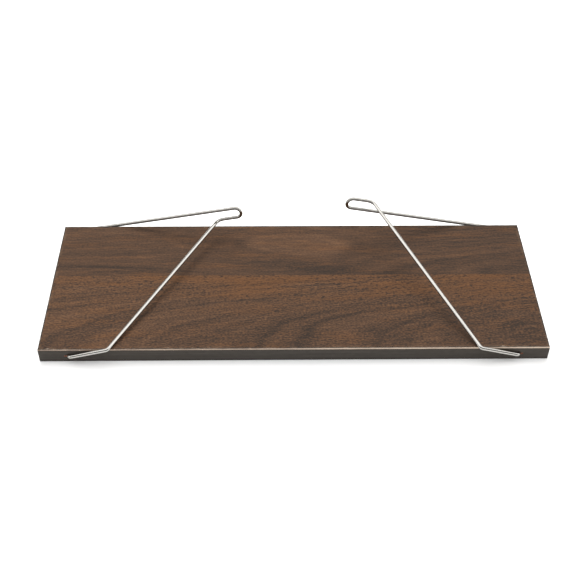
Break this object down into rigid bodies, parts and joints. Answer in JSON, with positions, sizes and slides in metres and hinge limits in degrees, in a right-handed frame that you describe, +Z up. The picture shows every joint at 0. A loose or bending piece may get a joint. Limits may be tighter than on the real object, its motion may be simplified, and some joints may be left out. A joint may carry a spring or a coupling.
{
  "type": "photo album stand",
  "caption": "Flat wood-grain laminated board with folding bent-wire supports near its ends, which swing up to keep photo albums standing on the board.",
  "frame": {"origin": "middle of the board's bottom face, at the height of the surface that it stands on", "axes": "+X along the board to the right, +Y to its back edge, +Z up"},
  "size_m": [0.45, 0.1757, 0.0579],
  "materials": {
    "fibreboard": "raw reddish-brown fibreboard, seen only in the drilled holes",
    "walnut_laminate": "satin walnut-print laminate, grain along the board",
    "backing_laminate": "plain satin backing laminate",
    "edge_band": "smooth grey-brown printed edge band with a pale trimmed arris",
    "steel_wire": "bright nickel-plated round wire"
  },
  "bodies": {
    "board": {"board_core": "fibreboard", "top_laminate": "walnut_laminate", "bottom_laminate": "backing_laminate", "front_edge_band": "edge_band", "back_edge_band": "edge_band", "left_edge_band": "edge_band", "right_edge_band": "edge_band"},
    "left_support": {"left_wire_support": "steel_wire"},
    "right_support": {"right_wire_support": "steel_wire"}
  },
  "joints": [
    {"name": "left_support_swing", "type": "hinge", "parent": "board", "child": "left_support", "pos_m": [-0.1985, 0, 0.0075], "axis": [0, -1, 0], "range_deg": [0, 166]},
    {"name": "right_support_swing", "type": "hinge", "parent": "board", "child": "right_support", "pos_m": [0.1985, 0, 0.0075], "axis": [0, 1, 0], "range_deg": [0, 161]}
  ]
}
